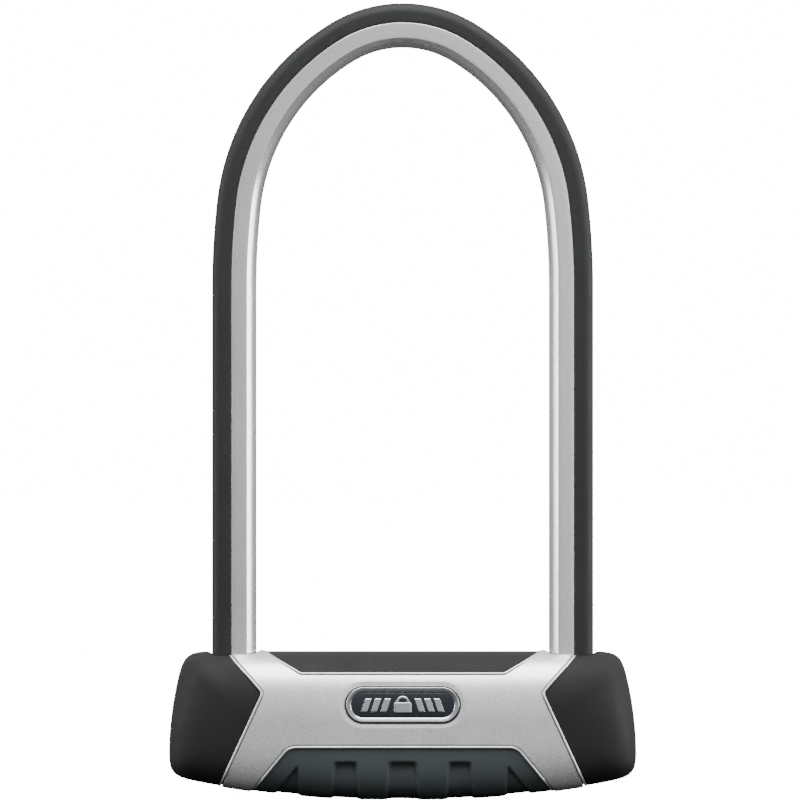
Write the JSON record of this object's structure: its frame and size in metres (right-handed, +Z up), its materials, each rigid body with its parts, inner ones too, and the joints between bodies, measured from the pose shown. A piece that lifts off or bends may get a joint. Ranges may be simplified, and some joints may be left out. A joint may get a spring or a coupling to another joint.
{
  "type": "u lock",
  "caption": "Bicycle U lock: a bent square-bar shackle coated in two colours, closed by a cased crossbar that bolts both feet, with a key cylinder and dust flap underneath.",
  "frame": {"origin": "middle of the foot on the crossbar's underside, at the bottom centre of the lock standing on its crossbar", "axes": "+Z up the shackle's legs, +X to the right along the crossbar, the face with the badge looks along -Y"},
  "size_m": [0.1752, 0.0431, 0.2986],
  "materials": {
    "coat_black": "black polymer coat over the bar, satin",
    "coat_silver": "silver metallic polymer coat over the bar, semi-gloss",
    "hardened_steel": "hardened steel, ground and plated",
    "case_steel": "formed steel, zinc plated",
    "cover_silver": "moulded plastic painted fine-flake silver",
    "cap_black": "moulded black plastic, satin",
    "grip_rubber": "dark slate-grey grip rubber, matt",
    "seal_rubber": "black rubber",
    "chrome": "bright plated metal",
    "badge_blue": "dark blue-grey plate, satin",
    "nylon": "black moulded nylon",
    "brass": "turned and stamped brass",
    "spring_steel": "spring steel, bright",
    "zinc": "die-cast zinc, satin"
  },
  "bodies": {
    "crossbar": {"lock_case": "case_steel", "end_plug_left": "case_steel", "end_plug_right": "case_steel", "end_plug_pin_left": "spring_steel", "end_plug_pin_right": "spring_steel", "cylinder_pin_left": "spring_steel", "cylinder_pin_right": "spring_steel", "socket_block_left": "nylon", "socket_block_right": "nylon", "bolt_carrier": "case_steel", "cylinder_housing": "zinc", "cylinder_seal_ring": "seal_rubber", "socket_seal_left": "seal_rubber", "socket_seal_right": "seal_rubber", "front_cover": "cover_silver", "rear_cover": "cover_silver", "top_bridge": "cap_black", "end_cap_left": "cap_black", "end_cap_right": "cap_black", "grip_pad": "grip_rubber", "badge_rim": "chrome", "badge_plate": "badge_blue", "badge_emblem": "chrome"},
    "shackle": {"shackle_bar": "hardened_steel", "shackle_sleeve_outer": "coat_black", "shackle_sleeve_inner": "coat_silver"},
    "rotor": {"cylinder_plug": "brass", "drill_guard_disc": "hardened_steel", "stack_washer": "spring_steel", "sidebar": "hardened_steel", "drive_cam": "hardened_steel", "retaining_clip": "spring_steel", "plug_cap": "chrome", "flap_pin": "spring_steel", "detainer_disc_1": "brass", "detainer_disc_2": "brass", "detainer_disc_3": "brass", "detainer_disc_4": "brass", "detainer_disc_5": "brass", "disc_spacer_1": "spring_steel", "disc_spacer_2": "spring_steel", "disc_spacer_3": "spring_steel", "disc_spacer_4": "spring_steel"},
    "flap": {"keyhole_flap": "zinc", "flap_spring": "spring_steel"},
    "bolt_left": {"bolt_left": "hardened_steel"},
    "bolt_right": {"bolt_right": "hardened_steel"}
  },
  "joints": [
    {"name": "shackle_lift", "type": "slide", "parent": "crossbar", "child": "shackle", "axis": [0, 0, 1], "range_m": [0, 0.06]},
    {"name": "key_turn", "type": "hinge", "parent": "crossbar", "child": "rotor", "pos_m": [0, 0, 0.0105], "axis": [0, 0, 1], "range_deg": [0, 90]},
    {"name": "bolt_left_slide", "type": "slide", "parent": "crossbar", "child": "bolt_left", "axis": [-1, 0, 0], "range_m": [0, 0.005]},
    {"name": "bolt_right_slide", "type": "slide", "parent": "crossbar", "child": "bolt_right", "axis": [1, 0, 0], "range_m": [0, 0.005]},
    {"name": "flap_swing", "type": "hinge", "parent": "rotor", "child": "flap", "pos_m": [0, 0.0035, 0.0044], "axis": [-1, 0, 0], "range_deg": [0, 85], "stiffness_Nm_per_rad": 0.002, "springref_deg": -17.19, "deforming": ["flap_spring"]}
  ],
  "couplings": [
    {"joint": "key_turn", "follows": "bolt_left_slide", "rad_per_m": 314.16},
    {"joint": "bolt_right_slide", "follows": "bolt_left_slide", "ratio": 1}
  ]
}
